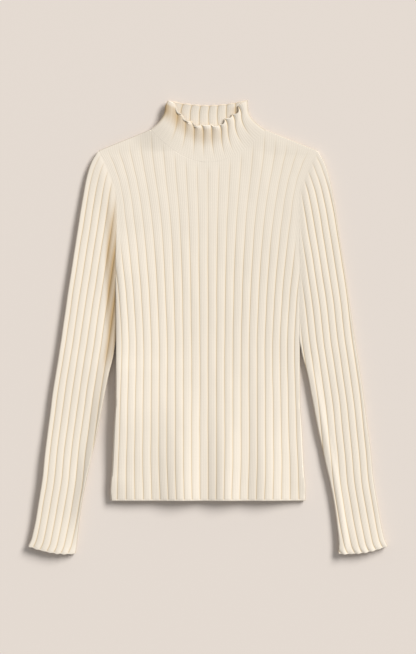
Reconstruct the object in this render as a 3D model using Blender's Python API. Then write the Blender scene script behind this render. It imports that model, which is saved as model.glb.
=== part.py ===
"""Ribbed mock neck top with long sleeves, laid flat on its back.

The back panel and the undersides of the sleeves and of the collar rest flat on the ground.
The front panel lies on the back one and meets it in the round folds of the side seams.
X runs across the garment, Y from hem to collar, Z up. Left and right are the wearer's.
Every length is in millimetres until a point is placed.
"""

import math

import bmesh
import bpy
from mathutils import Vector

MM = 0.001

# The cloth
WALL = 2.4  # mean thickness of the rib knit, and that of its plain underside
RIB_DEPTH = 1.2  # from the bottom of a groove to the crest of the rib
SEAM = 0.3  # clear distance between two pieces at a seam
FOLD_HEIGHT = 6.0  # inside of the upper layer beside a fold
REST_HEIGHT = 3.4  # inside of the upper layer in the middle of the body
FOLD_RADIUS = (FOLD_HEIGHT + WALL) / 2  # outside of a full fold
RIB_STEPS = (0.0, 0.17, 0.5, 0.83)  # columns across one rib, the groove first
FOLD_STEPS = (0.0, 45.0, 90.0)  # columns round one half of a fold, in degrees
SNAP = 0.6  # a column this close to a fold moves onto it
SHARP_ANGLE = 50.0  # edges bent more than this are shaded as creases, in degrees
ROUNDS = 12  # enough for a height and a width that depend on each other to settle

# The body: half of its width, at the side seam below the underarm and at the armhole above it
HEM_Y = -278.3
UNDERARM_Y = 103.3
YOKE_Y = 212.0  # above this height the rows bend towards the neck and the shoulders
BODY = [
    {"y": HEM_Y, "half": 155.5},
    {"y": -261.5, "half": 156.0},
    {"y": -229.5, "half": 153.6},
    {"y": -165.5, "half": 150.4},
    {"y": -117.5, "half": 147.2},
    {"y": -21.5, "half": 146.7},
    {"y": 42.5, "half": 147.2},
    {"y": UNDERARM_Y, "half": 148.0},
    {"y": 154.5, "half": 146.7},
    {"y": 186.5, "half": 146.4},
    {"y": YOKE_Y, "half": 147.3},
    {"y": 228.1, "half": 150.6},
    {"y": 242.5, "half": 156.6},
    {"y": 264.9, "half": 166.4},
    {"y": 281.0, "half": 174.6},
]

# The seam between body and sleeve: how far it is open flat, and the inside height of each side of it
SEAM_LINE = [
    {"y": HEM_Y, "open": 0.0, "body": FOLD_HEIGHT, "sleeve": FOLD_HEIGHT},
    {"y": -80.0, "open": 0.0, "body": FOLD_HEIGHT, "sleeve": FOLD_HEIGHT},
    {"y": -40.0, "open": 0.0, "body": FOLD_HEIGHT, "sleeve": 4.8},
    {"y": -8.0, "open": 0.0, "body": FOLD_HEIGHT, "sleeve": 3.2},
    {"y": UNDERARM_Y, "open": 0.0, "body": FOLD_HEIGHT, "sleeve": 3.0},
    {"y": 122.0, "open": 0.6, "body": 5.2, "sleeve": 3.8},
    {"y": 144.0, "open": 1.0, "body": 4.4, "sleeve": 4.2},
    {"y": YOKE_Y, "open": 1.0, "body": 4.2, "sleeve": 4.2},
    {"y": 252.0, "open": 1.0, "body": 5.2, "sleeve": 5.2},
    {"y": 266.0, "open": 1.0, "body": FOLD_HEIGHT, "sleeve": FOLD_HEIGHT},
]
BODY_ROWS = (HEM_Y, -271.0, -229.5, -181.0, -117.5, -37.5, 26.5, 69.7, UNDERARM_Y,
             122.0, 144.0, 166.5, 189.5, YOKE_Y)
YOKE_ROWS = (0.2, 0.4, 0.6, 0.8, 1.0)  # shares of the way from the yoke to the shoulder fold

# Ribs of the body: their pitch, and how much the outer ones are squeezed together
BODY_RIBS = 12  # on each half
RIBS = [
    {"y": HEM_Y, "pitch": 12.6, "squeeze": -0.0004},
    {"y": -197.5, "pitch": 13.2, "squeeze": 0.00015},
    {"y": -117.5, "pitch": 13.2, "squeeze": 0.0003},
    {"y": -37.5, "pitch": 13.25, "squeeze": 0.00045},
    {"y": 42.5, "pitch": 13.7, "squeeze": 0.0005},
    {"y": 106.5, "pitch": 14.25, "squeeze": 0.0004},
    {"y": 170.5, "pitch": 15.2, "squeeze": 0.00045},
    {"y": 234.5, "pitch": 16.2, "squeeze": 0.0006},
    {"y": 314.5, "pitch": 17.6, "squeeze": 0.0004},
]
SEAM_FADE = 9.0  # width of the smooth strip beside an armhole or neck seam

# Two places where the front hem lifts off the back
HEM_WAVES = [
    {"x": -60.0, "width": 26.0, "lift": 1.8},
    {"x": 12.0, "width": 30.0, "lift": 2.2},
]
HEM_WAVE_LENGTH = 70.0

# Neck and shoulders
NECK_HALF = 92.0  # half of the neck's width where it meets the shoulders
NECK_Y = 314.5
FRONT_NECK_Y = 263.3
FRONT_NECK_POWER = 1.9  # the neck seam rises to the side as this power of the distance
BACK_NECK_Y = 295.3
BACK_NECK_POWER = 2.0
SHOULDER_SLOPE = 0.404
NECK_BLEND = 5.0  # half of the stretch in which the neck seam turns into the shoulder fold
NECK_REACH = 45.0  # how far in from shoulder and collar the cloth sinks to rest

# The collar: a tube whose ribs spread towards its base
COLLAR_TOP_HALF = 63.2
COLLAR_TIP_Y = 362.8
COLLAR_GAP = 1.5 * SEAM  # along Y, so that the seam stays clear where it slopes
COLLAR_SPREAD = 0.2  # how much more the outer ribs spread towards the base than the inner ones
COLLAR_FOLD_SHARES = (0.04, 0.066)  # width of a side fold at the base and at the lip
FRONT_LIP_Y = 320.9
FRONT_LIP_POWER = 2.2
BACK_LIP_Y = 353.7
BACK_LIP_POWER = 2.0
COLLAR_BOW = 5.8  # how far its sides curve in
COLLAR_HALF_RIBS = 4.55
COLLAR_BASE_STRENGTH = 0.25  # depth of the ribs at the base, as a share of their full depth
COLLAR_RIBS_FROM = 0.1  # share of the height where they start to deepen
COLLAR_RIBS_FULL = 0.7  # and where they reach it
COLLAR_LIFT = 1.5  # how far the lip of the front stands up
COLLAR_ROWS = (0.0, 0.2, 0.4, 0.6, 0.75, 0.86, 0.94, 1.0)
LETTUCE_START = 0.82  # share of the collar's height where the fluted edge starts
LETTUCE_RISE = 1.3
LETTUCE_DIP = 1.4
BACK_LETTUCE = 0.4  # fluting of the back edge, as a share of the front's

# The sleeve, from cuff to shoulder: outer and inner end of each section, right of the centre line
SLEEVE = [
    {"outer_x": 287.4, "outer_y": -350.3, "inner_x": 211.5, "inner_y": -362.8},
    {"outer_x": 285.0, "outer_y": -346.3, "inner_x": 210.9, "inner_y": -358.4},
    {"outer_x": 282.1, "outer_y": -339.9, "inner_x": 210.1, "inner_y": -351.1},
    {"outer_x": 276.0, "outer_y": -312.7, "inner_x": 207.2, "inner_y": -323.4},
    {"outer_x": 269.8, "outer_y": -277.5, "inner_x": 202.4, "inner_y": -287.9},
    {"outer_x": 264.0, "outer_y": -240.7, "inner_x": 195.7, "inner_y": -251.1},
    {"outer_x": 259.8, "outer_y": -197.5, "inner_x": 185.8, "inner_y": -209.2},
    {"outer_x": 253.6, "outer_y": -149.5, "inner_x": 175.8, "inner_y": -163.1},
    {"outer_x": 247.2, "outer_y": -101.5, "inner_x": 166.6, "inner_y": -115.9},
    {"outer_x": 241.0, "outer_y": -61.5, "inner_x": 155.2, "inner_y": -75.0},
    {"outer_x": 237.6, "outer_y": -39.9, "inner_x": 149.0, "inner_y": -55.0},
    {"outer_x": 234.9, "outer_y": -23.5, "seam_y": -37.5},
    {"outer_x": 230.2, "outer_y": 10.5, "seam_y": -5.0},
    {"outer_x": 225.6, "outer_y": 42.5, "seam_y": 26.5},
    {"outer_x": 219.4, "outer_y": 82.5, "seam_y": 69.7},
    {"outer_x": 214.6, "outer_y": 114.5, "seam_y": UNDERARM_Y},
    {"outer_x": 211.4, "outer_y": 134.5, "seam_y": 122.0},
    {"outer_x": 208.0, "outer_y": 155.0, "seam_y": 144.0},
    {"outer_x": 205.0, "outer_y": 174.5, "seam_y": 166.5},
    {"outer_x": 202.0, "outer_y": 194.0, "seam_y": 189.5},
    {"outer_x": 199.0, "outer_y": 212.1, "seam_y": YOKE_Y},
    {"outer_x": 196.2, "outer_y": 228.0, "yoke": 0.2},
    {"outer_x": 192.9, "outer_y": 242.5, "yoke": 0.4},
    {"outer_x": 188.8, "outer_y": 256.0, "yoke": 0.6},
    {"outer_x": 183.6, "outer_y": 267.5, "yoke": 0.8},
    {"outer_x": 178.9, "outer_y": 275.0, "yoke": 1.0},
]
SLEEVE_FIRST_GROOVE = 7.7
SLEEVE_PITCH = 11.3
SLEEVE_RIBS = 8
SLEEVE_SINK = 1.4  # how far the cloth sinks between its two folds
SLEEVE_SINK_WIDTH = 80.0  # narrower sections sink less
SLEEVE_FOLD_SHARE = 0.45  # most of a narrow section's width that one fold takes up
SLEEVE_UNDER_STEPS = (0.25, 0.5, 0.75)
CUFF_RISE = 0.8
CUFF_DIP = 0.9
CUFF_LENGTH = 12.0  # the fluted edge of the cuff fades out over this length


def smoothstep(t):
    t = min(1.0, max(0.0, t))
    return t * t * (3 - 2 * t)


def mix(a, b, share):
    return a + (b - a) * share


def read(table, column, y):
    """A column of a table at height y, on a smooth curve through its rows that never overshoots them."""
    ys = [row["y"] for row in table]
    values = [row[column] for row in table]
    if y <= ys[0]:
        return values[0]
    if y >= ys[-1]:
        return values[-1]
    i = max(n for n in range(len(ys) - 1) if ys[n] <= y)

    def secant(n):
        n = min(len(ys) - 2, max(0, n))
        return (values[n + 1] - values[n]) / (ys[n + 1] - ys[n])

    def slope(n):
        below, above = secant(n - 1), secant(n)
        return 2 * below * above / (below + above) if below * above > 0 else 0.0

    span = ys[i + 1] - ys[i]
    t = (y - ys[i]) / span
    return (values[i] * (2 * t**3 - 3 * t**2 + 1) + values[i + 1] * (3 * t**2 - 2 * t**3)
            + slope(i) * span * (t**3 - 2 * t**2 + t) + slope(i + 1) * span * (t**3 - t**2))


def knit(phase, strength=1.0):
    """Thickness of the cloth at a phase across a rib: 0 is the groove and 0.5 the crest."""
    crown = 1 - abs(1 - 2 * (phase % 1.0)) ** 3
    return WALL + RIB_DEPTH * (crown - 0.5) * strength


def front_top(x):
    """Upper edge of the front panel: the neck seam, then the shoulder."""
    x = abs(x)
    if x <= NECK_HALF:
        return mix(FRONT_NECK_Y, NECK_Y, (x / NECK_HALF) ** FRONT_NECK_POWER)
    return NECK_Y - SHOULDER_SLOPE * (x - NECK_HALF)


def back_top(x):
    x = abs(x)
    if x <= NECK_HALF:
        return mix(BACK_NECK_Y, NECK_Y, (x / NECK_HALF) ** BACK_NECK_POWER)
    return NECK_Y - SHOULDER_SLOPE * (x - NECK_HALF)


def neck_lift(x, y):
    """1 beside the folds of shoulder and collar, 0 where the cloth has come to rest."""
    corners = (
        Vector((BODY[-1]["half"], front_top(BODY[-1]["half"]))),
        Vector((NECK_HALF, NECK_Y)),
        Vector(((NECK_HALF + COLLAR_TOP_HALF) / 2 - COLLAR_BOW, (NECK_Y + COLLAR_TIP_Y) / 2)),
        Vector((COLLAR_TOP_HALF, COLLAR_TIP_Y)),
    )
    point = Vector((abs(x), y))
    nearest = math.inf
    for start, end in zip(corners, corners[1:]):
        along = end - start
        share = min(1.0, max(0.0, (point - start).dot(along) / along.length_squared))
        nearest = min(nearest, (point - start - along * share).length)
    return 1 - smoothstep((nearest - FOLD_RADIUS) / NECK_REACH)


def fold_points(centre, reach, height, angle, thickness, layer, opened, gap):
    """Inner and outer point of the cloth at an angle round a fold, in the upper (1) or lower (-1) layer.

    centre is where the fold starts in plan, and reach goes from there to its outermost line.
    Where the seam is opened flat, the cloth runs straight on to that line instead.
    """
    inner_radius = (height - WALL) / 2
    outer_radius = inner_radius + WALL
    middle = (height + WALL) / 2
    cosine, sine = math.cos(math.radians(angle)), math.sin(math.radians(angle))
    flat_inner = height if layer > 0 else WALL
    pair = []
    for radius, flat_z in ((inner_radius, flat_inner),
                           (inner_radius + thickness, flat_inner + layer * thickness)):
        folded = centre + reach * (radius * cosine / outer_radius)
        folded_z = middle + layer * (radius * sine + gap / 2 * cosine)
        flat = centre + reach * cosine
        plan = folded.lerp(flat, opened)
        pair.append(Vector((plan.x, plan.y, mix(folded_z, flat_z, opened))) * MM)
    return pair


def body_rows(top):
    """Rows of a body panel from the hem up: y as a function of x, and the angle round the shoulder fold."""
    rows = []
    for y in BODY_ROWS:
        rows.append({"y_at": lambda x, y=y: y, "angle": None})
    for share in YOKE_ROWS:
        rows.append({
            "y_at": lambda x, share=share: mix(YOKE_Y, top(x) - FOLD_RADIUS, share),
            "angle": None if share < 1 else 90.0,
        })
    for angle in FOLD_STEPS[1::-1]:
        cosine = math.cos(math.radians(angle))
        rows.append({
            "y_at": lambda x, c=cosine: top(x) - FOLD_RADIUS * (1 - c),
            "angle": angle,
        })
    for row in rows:
        half = BODY[-1]["half"]
        for _ in range(ROUNDS):
            half = read(BODY, "half", row["y_at"](half))
        row["half"] = half
    return rows


def rib_number(x, y):
    pitch, squeeze = read(RIBS, "pitch", y), read(RIBS, "squeeze", y)
    number = x / pitch
    for _ in range(ROUNDS):
        number = x / pitch + squeeze * number**3
    return number


def body_panel(top, columns, layer):
    """Inner and outer points of the front (layer 1) or the back (layer -1), row by row."""
    inner, outer = [], []
    for row in body_rows(top):
        half = row["half"]
        edge_y = row["y_at"](half)
        opened = read(SEAM_LINE, "open", edge_y)
        edge_height = read(SEAM_LINE, "body", edge_y)
        limit = half - FOLD_RADIUS
        inner_row, outer_row = [], []
        for kind, value in columns:
            if kind == "rib":
                y = edge_y
                for _ in range(ROUNDS):
                    x = read(RIBS, "pitch", y) * (value - read(RIBS, "squeeze", y) * value**3)
                    x = min(limit, max(-limit, x))
                    y = row["y_at"](x)
                if limit - abs(x) < SNAP:
                    x = math.copysign(limit, x)
                side_angle = 90.0
            else:
                side_angle = abs(value) - 1
                x = math.copysign(half - FOLD_RADIUS * (1 - math.cos(math.radians(side_angle))), value)
            y = row["y_at"](x)
            to_seam = max(0.0, half - abs(x))
            strength = 1 - opened * (1 - smoothstep(to_seam / SEAM_FADE))
            beside_neck = 1 - smoothstep((abs(x) - NECK_HALF) / SEAM_FADE)
            strength *= mix(1.0, smoothstep((top(x) - y) / SEAM_FADE), beside_neck)
            thickness = knit(rib_number(x, y), strength) if layer > 0 else WALL
            share = abs(x) / limit
            rise = max((edge_height - REST_HEIGHT) * min(1.0, share) ** 4,
                       (FOLD_HEIGHT - REST_HEIGHT) * neck_lift(x, y))
            for wave in HEM_WAVES:
                hump = smoothstep(1 - abs(x - wave["x"]) / wave["width"])
                rise += wave["lift"] * hump * (1 - smoothstep((y - HEM_Y) / HEM_WAVE_LENGTH))
            height = REST_HEIGHT + rise
            if row["angle"] is not None:
                neck = 1 - smoothstep((abs(x) - NECK_HALF + NECK_BLEND) / (2 * NECK_BLEND))
                centre = Vector((x, top(x) - FOLD_RADIUS))
                pair = fold_points(centre, Vector((0, FOLD_RADIUS)), mix(FOLD_HEIGHT, height, neck),
                                   row["angle"], WALL if row["angle"] == 0 else thickness, layer, neck, SEAM)
            elif kind == "edge":
                centre = Vector((math.copysign(limit, value), y))
                reach = Vector((math.copysign(FOLD_RADIUS, value), 0))
                pair = fold_points(centre, reach, edge_height, side_angle,
                                   WALL if side_angle == 0 else thickness, layer, opened, SEAM)
            else:
                z_in = height if layer > 0 else WALL
                pair = [Vector((x, y, z_in)) * MM, Vector((x, y, z_in + layer * thickness)) * MM]
            inner_row.append(pair[0])
            outer_row.append(pair[1])
        inner.append(inner_row)
        outer.append(outer_row)
    return inner, outer


def edge_columns(side):
    """The columns round a side fold, as signed angles: 1 is added so that angle 0 keeps its sign."""
    steps = FOLD_STEPS[:2] if side < 0 else FOLD_STEPS[1::-1]
    return [("edge", side * (angle + 1)) for angle in steps]


def knit_wall(name, inner, outer, inner_columns, outer_columns, closed_rows=()):
    """One closed wall of cloth from rows of inner and outer points.

    The inner and outer face each keep only their own columns. Where both rows of a strip are closed,
    its first and last columns are the same line, and the wall is a tube there.
    """
    mesh = bpy.data.meshes.new(name)
    bm = bmesh.new()
    made = {}

    def corner(point):
        key = tuple(round(value, 7) for value in point)
        if key not in made:
            made[key] = bm.verts.new(point)
        return made[key]

    def face(points):
        corners = []
        for point in points:
            vert = corner(point)
            if vert not in corners:
                corners.append(vert)
        if len(corners) > 2 and not bm.faces.get(corners):
            bm.faces.new(corners)

    for points, columns, turn in ((outer, outer_columns, 1), (inner, inner_columns, -1)):
        for low, high in zip(points, points[1:]):
            for a, b in zip(columns, columns[1:]):
                face([low[a], low[b], high[b], high[a]][::turn])
    shared = [c for c in outer_columns if c in set(inner_columns)]
    for row, turn in ((0, -1), (len(outer) - 1, 1)):
        for a, b in zip(shared, shared[1:]):
            along_outer = [outer[row][c] for c in outer_columns if a <= c <= b]
            along_inner = [inner[row][c] for c in inner_columns if a <= c <= b]
            face((along_outer + along_inner[::-1])[::turn])
    for row in range(len(outer) - 1):
        if row in closed_rows and row + 1 in closed_rows:
            continue
        for column, turn in ((0, 1), (-1, -1)):
            face([outer[row][column], outer[row + 1][column],
                  inner[row + 1][column], inner[row][column]][::turn])
    bmesh.ops.recalc_face_normals(bm, faces=bm.faces)
    bmesh.ops.triangulate(bm, faces=[f for f in bm.faces if len(f.verts) > 4])
    bm.to_mesh(mesh)
    bm.free()
    piece = bpy.data.objects.new(name, mesh)
    garment.objects.link(piece)
    mesh.materials.append(cream_knit(name))
    mesh.shade_smooth()
    mesh.set_sharp_from_angle(angle=math.radians(SHARP_ANGLE))
    return piece


def cream_knit(name):
    """Matt cream rib knit."""
    material = bpy.data.materials.new(name + "_rib_knit")
    material.use_nodes = True
    shader = material.node_tree.nodes["Principled BSDF"]
    shader.inputs["Base Color"].default_value = (0.87, 0.78, 0.66, 1)
    shader.inputs["Roughness"].default_value = 0.9
    shader.inputs["Metallic"].default_value = 0.0
    return material


def build_front():
    ribs = [("rib", n + step) for n in range(-BODY_RIBS, BODY_RIBS) for step in RIB_STEPS]
    columns = edge_columns(-1) + ribs + [("rib", BODY_RIBS)] + edge_columns(1)
    inner, outer = body_panel(front_top, columns, 1)
    plain = [c for c, (kind, value) in enumerate(columns)
             if kind == "edge" or value * 2 % 1 == 0]
    return knit_wall("front", inner, outer, plain, list(range(len(columns))))


def build_back():
    ribs = [("rib", n) for n in range(-BODY_RIBS, BODY_RIBS + 1)]
    columns = edge_columns(-1) + ribs + edge_columns(1)
    inner, outer = body_panel(back_top, columns, -1)
    every = list(range(len(columns)))
    return knit_wall("back", inner, outer, every, every)


def sleeve_sections():
    """Outer and inner end of each section, with the state of the seam there."""
    rows = body_rows(front_top)
    by_share = {share: rows[len(BODY_ROWS) + n] for n, share in enumerate(YOKE_ROWS)}
    sections = []
    for row in SLEEVE:
        if "inner_x" in row:
            end_x, end_y = row["inner_x"], row["inner_y"]
        elif "seam_y" in row:
            end_x, end_y = read(BODY, "half", row["seam_y"]) + SEAM, row["seam_y"]
        else:
            half = by_share[row["yoke"]]["half"]
            end_x, end_y = half + SEAM, by_share[row["yoke"]]["y_at"](half)
        sections.append({
            "outer": Vector((row["outer_x"], row["outer_y"])),
            "inner": Vector((end_x, end_y)),
            "open": read(SEAM_LINE, "open", end_y),
            "height": read(SEAM_LINE, "sleeve", end_y),
        })
    return sections


def build_sleeve(name, side):
    """A tube whose ribs run parallel to its outer fold and end at the armhole."""
    ribs = [n + step for n in range(-1, SLEEVE_RIBS) for step in RIB_STEPS]
    columns = [("inner", angle, 1) for angle in FOLD_STEPS[:2]]
    columns += [("rib", number, 1) for number in reversed(ribs)]
    columns += [("outer", angle, 1) for angle in FOLD_STEPS[1::-1]]
    columns += [("outer", angle, -1) for angle in FOLD_STEPS[1:]]
    columns += [("under", share, -1) for share in SLEEVE_UNDER_STEPS]
    columns += [("inner", angle, -1) for angle in FOLD_STEPS[::-1]]
    inner, outer, closed = [], [], []
    start = None
    for number, section in enumerate(sleeve_sections()):
        across = section["inner"] - section["outer"]
        width = across.length
        across.normalize()
        down = Vector((across.y, -across.x)) * -1
        if start is None:
            start = section["outer"].copy()
        from_cuff = (section["outer"] - start).length
        opened, height = section["open"], section["height"]
        if opened == 0:
            closed.append(number)
        slim = min(1.0, SLEEVE_FOLD_SHARE * width / FOLD_RADIUS)
        outer_fold = FOLD_RADIUS * slim
        inner_fold = (height + WALL) / 2 * slim
        sink = SLEEVE_SINK * min(1.0, width / SLEEVE_SINK_WIDTH)
        flute = 1 - smoothstep(from_cuff / CUFF_LENGTH)
        inner_row, outer_row = [], []
        for kind, value, layer in columns:
            if kind == "rib":
                distance = SLEEVE_FIRST_GROOVE + value * SLEEVE_PITCH
                distance = min(width - inner_fold, max(outer_fold, distance))
                if distance - outer_fold < SNAP:
                    distance = outer_fold
                if width - inner_fold - distance < SNAP:
                    distance = width - inner_fold
            elif kind == "under":
                distance = mix(outer_fold, width - inner_fold, value)
            elif kind == "outer":
                distance = outer_fold * (1 - math.cos(math.radians(value)))
            else:
                distance = width - inner_fold * (1 - math.cos(math.radians(value)))
            phase = (distance - SLEEVE_FIRST_GROOVE) / SLEEVE_PITCH
            strength = 1 - opened * (1 - smoothstep((width - distance) / SEAM_FADE))
            thickness = knit(phase, strength) if layer > 0 else WALL
            if kind in ("rib", "under"):
                share = (distance - outer_fold) / (width - inner_fold - outer_fold)
                share = min(1.0, max(0.0, share))
                z_in = mix(FOLD_HEIGHT, height, smoothstep(share)) - sink * (1 - (2 * share - 1) ** 4)
                plan = section["outer"] + across * distance
                if layer < 0:
                    z_in = WALL
                pair = [Vector((plan.x, plan.y, z_in)) * MM,
                        Vector((plan.x, plan.y, z_in + layer * thickness)) * MM]
            elif kind == "outer":
                centre = section["outer"] + across * outer_fold
                pair = fold_points(centre, across * -outer_fold, FOLD_HEIGHT, value,
                                   WALL if value == 0 else thickness, layer, 0.0, 0.0)
            else:
                centre = section["inner"] - across * inner_fold
                pair = fold_points(centre, across * inner_fold, height, value,
                                   WALL if value == 0 else thickness, layer, opened, 0.0)
            if layer > 0 and flute > 0 and kind == "rib":
                swing = -math.cos(2 * math.pi * phase) * flute
                shift = down * (CUFF_DIP * swing)
                move = Vector((shift.x, shift.y, CUFF_RISE * swing)) * MM
                pair = [point + move for point in pair]
            inner_row.append(Vector((pair[0].x * side, pair[0].y, pair[0].z)))
            outer_row.append(Vector((pair[1].x * side, pair[1].y, pair[1].z)))
        inner.append(inner_row)
        outer.append(outer_row)
    plain = [c for c, (kind, value, layer) in enumerate(columns)
             if kind != "rib" or value % 1 == 0]
    return knit_wall(name, inner, outer, plain, list(range(len(columns))), closed)


def collar_plan(share, rise, layer):
    """Where the collar lies: share runs from -1 to 1 across it, rise from its base to its lip."""
    across = abs(share)
    base_x = NECK_HALF * mix(across, across**2, COLLAR_SPREAD)
    top_x = COLLAR_TOP_HALF * across
    if layer > 0:
        base_y = front_top(min(base_x, NECK_HALF))
        top_y = mix(FRONT_LIP_Y, COLLAR_TIP_Y, across**FRONT_LIP_POWER)
    else:
        base_y = back_top(min(base_x, NECK_HALF))
        top_y = mix(BACK_LIP_Y, COLLAR_TIP_Y, across**BACK_LIP_POWER)
    x = mix(base_x, top_x, rise) - COLLAR_BOW * 4 * rise * (1 - rise) * across**3
    y = mix(base_y + COLLAR_GAP, top_y, rise)
    return Vector((math.copysign(x, share), y))


def build_collar():
    """A tube, plain on the ground, with ribs on the outside of its front and the inside of its back."""
    front_ribs = [n + 0.5 + step for n in range(-5, 5) for step in RIB_STEPS]
    back_ribs = [n + step for n in range(-5, 5) for step in RIB_STEPS]
    columns = [("fold", angle, 1, 1) for angle in FOLD_STEPS[:2]]
    columns += [("rib", number, 1, 1) for number in reversed(front_ribs)]
    columns += [("fold", angle, 1, -1) for angle in FOLD_STEPS[1::-1]]
    columns += [("fold", angle, -1, -1) for angle in FOLD_STEPS[1:2]]
    columns += [("rib", number, -1, 1) for number in back_ribs]
    columns += [("fold", angle, -1, 1) for angle in FOLD_STEPS[1::-1]]
    inner, outer = [], []
    for rise in COLLAR_ROWS:
        fold_share = mix(*COLLAR_FOLD_SHARES, rise)
        flute = smoothstep((rise - LETTUCE_START) / (1 - LETTUCE_START))
        inner_row, outer_row = [], []
        for kind, value, layer, side in columns:
            if kind == "fold":
                start = collar_plan(side * (1 - fold_share), rise, layer)
                if value == 0:
                    start = start.lerp(collar_plan(side * (1 - fold_share), rise, -layer), 0.5)
                end = collar_plan(side, rise, layer)
                pair = fold_points(start, end - start, FOLD_HEIGHT, value, WALL, layer, 0.0, 0.0)
            else:
                share = value / COLLAR_HALF_RIBS
                share = min(1 - fold_share, max(fold_share - 1, share))
                plan = collar_plan(share, rise, layer)
                phase = share * COLLAR_HALF_RIBS + (0.5 if layer > 0 else 0.0)
                deepened = smoothstep((rise - COLLAR_RIBS_FROM) / (COLLAR_RIBS_FULL - COLLAR_RIBS_FROM))
                strength = mix(COLLAR_BASE_STRENGTH, 1.0, deepened)
                thickness = knit(phase, strength)
                swing = -math.cos(2 * math.pi * phase) * flute
                if layer > 0:
                    lift = COLLAR_LIFT * rise**2 * (1 - share**2)
                    z_in = REST_HEIGHT + (FOLD_HEIGHT - REST_HEIGHT) * neck_lift(plan.x, plan.y) + lift
                    z_in = min(FOLD_HEIGHT, z_in) + LETTUCE_RISE * swing * (1 - abs(share))
                    y = plan.y - LETTUCE_DIP * swing
                    z_out = z_in + thickness
                else:
                    y = plan.y + BACK_LETTUCE * LETTUCE_DIP * swing
                    z_in = thickness if abs(share) < 1 - fold_share else WALL
                    z_out = 0.0
                pair = [Vector((plan.x, y, z_in)) * MM, Vector((plan.x, y, z_out)) * MM]
            inner_row.append(pair[0])
            outer_row.append(pair[1])
        inner.append(inner_row)
        outer.append(outer_row)

    def kept(ribbed_layer):
        return [c for c, (kind, value, layer, side) in enumerate(columns)
                if kind == "fold" or layer == ribbed_layer or value * 2 % 1 == 0]

    closed = range(len(COLLAR_ROWS))
    return knit_wall("collar", inner, outer, kept(-1), kept(1), closed)


for old in list(bpy.data.objects):
    bpy.data.objects.remove(old)
garment = bpy.data.collections.new("ribbed_mock_neck_top")
bpy.context.scene.collection.children.link(garment)

build_back()
build_front()
build_sleeve("sleeve_left", 1)
build_sleeve("sleeve_right", -1)
build_collar()
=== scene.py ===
"""Long-sleeved top in cream rib knit with a short fluted collar, laid flat on its back.

X runs across the garment, Y from hem to collar and Z up. Pieces are named for the wearer's left and
right. In tables, values and comments, left is -X and right is +X, as seen from above.
Lengths are in millimetres, and turned into metres where a mesh, a lamp or the camera is made.
"""
import math

import bmesh
import bpy
import numpy as np
from mathutils import Matrix


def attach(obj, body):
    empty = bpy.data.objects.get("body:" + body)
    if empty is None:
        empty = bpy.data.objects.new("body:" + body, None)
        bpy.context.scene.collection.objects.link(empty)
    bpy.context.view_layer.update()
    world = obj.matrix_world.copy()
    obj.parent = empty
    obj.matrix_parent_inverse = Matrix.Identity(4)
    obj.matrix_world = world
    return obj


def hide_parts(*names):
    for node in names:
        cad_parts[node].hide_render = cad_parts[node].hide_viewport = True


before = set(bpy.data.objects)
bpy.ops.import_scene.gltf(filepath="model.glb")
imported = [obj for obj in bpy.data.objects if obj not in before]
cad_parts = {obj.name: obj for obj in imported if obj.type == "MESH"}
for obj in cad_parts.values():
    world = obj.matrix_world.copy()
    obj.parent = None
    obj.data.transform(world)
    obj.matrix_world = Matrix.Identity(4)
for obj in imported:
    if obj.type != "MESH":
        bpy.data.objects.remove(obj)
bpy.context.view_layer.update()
MM = 0.001


# -------------------------------- the ground, the light, the camera
# A smooth matt board of warm light grey, far larger than the picture.
# One low, far, oblong lamp at the upper right throws the soft shadows, and an even sky fills them.
GROUND_COLOUR = "#E4DAD1"
GROUND_SIZE = 40000.0
VIEW_HEIGHT = 1046.4  # what the picture takes in, from top to bottom, where the garment lies
VIEW_CENTRE_Y = -0.7
CAMERA_HEIGHT = 5000.0
SENSOR = 36.0
LAMP_AZIMUTH = 42.0  # where the light comes from, in degrees from +X towards +Y
LAMP_ELEVATION = 35.0
LAMP_DISTANCE = 300.0  # in metres: so far that all of the garment gets the same light
LAMP_SPREAD = (20.0, 38.0)  # how wide and how long the lamp looks from the garment, in degrees
LAMP_ROLL = -28.0
LAMP_SHARE = 0.645  # of the light that falls on level ground
LAMP_GAIN = 1.08  # makes up for the rim of the wide lamp, which is farther off and seen askew


def linear(hex_colour):
    """An sRGB hex colour as the linear RGBA that a shader takes."""
    channels = [int(hex_colour[i:i + 2], 16) / 255 for i in (1, 3, 5)]
    return [c / 12.92 if c <= 0.04045 else ((c + 0.055) / 1.055) ** 2.4 for c in channels] + [1.0]


def add_node(tree, kind, inputs=None, **settings):
    """Add a node with its settings. An input is linked to a socket, or to a node's first output."""
    node = tree.nodes.new(kind)
    for name, value in settings.items():
        setattr(node, name, value)
    for name, value in (inputs or {}).items():
        if isinstance(value, bpy.types.Node):
            value = value.outputs[0]
        if isinstance(value, bpy.types.NodeSocket):
            tree.links.new(value, node.inputs[name])
        else:
            node.inputs[name].default_value = value
    return node


def new_material(name):
    """A material with an empty tree but for its output."""
    material = bpy.data.materials.new(name)
    material.use_nodes = True
    material.node_tree.nodes.clear()
    output = add_node(material.node_tree, "ShaderNodeOutputMaterial")
    return material, material.node_tree, output


def matt_board():
    """Painted board, rolled matt: even in colour, with no gloss."""
    material, tree, output = new_material("matt_painted_board")
    shader = add_node(tree, "ShaderNodeBsdfPrincipled", {
        "Base Color": linear(GROUND_COLOUR), "Roughness": 0.95, "Specular IOR Level": 0.1})
    tree.links.new(shader.outputs[0], output.inputs[0])
    return material


half_board = GROUND_SIZE / 2 * MM
board_corners = [(x * half_board, y * half_board, 0) for x, y in ((-1, -1), (1, -1), (1, 1), (-1, 1))]
board_mesh = bpy.data.meshes.new("ground")
board_mesh.from_pydata(board_corners, [], [(0, 1, 2, 3)])
board_mesh.materials.append(matt_board())
ground = bpy.data.objects.new("ground", board_mesh)
bpy.context.collection.objects.link(ground)

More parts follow.
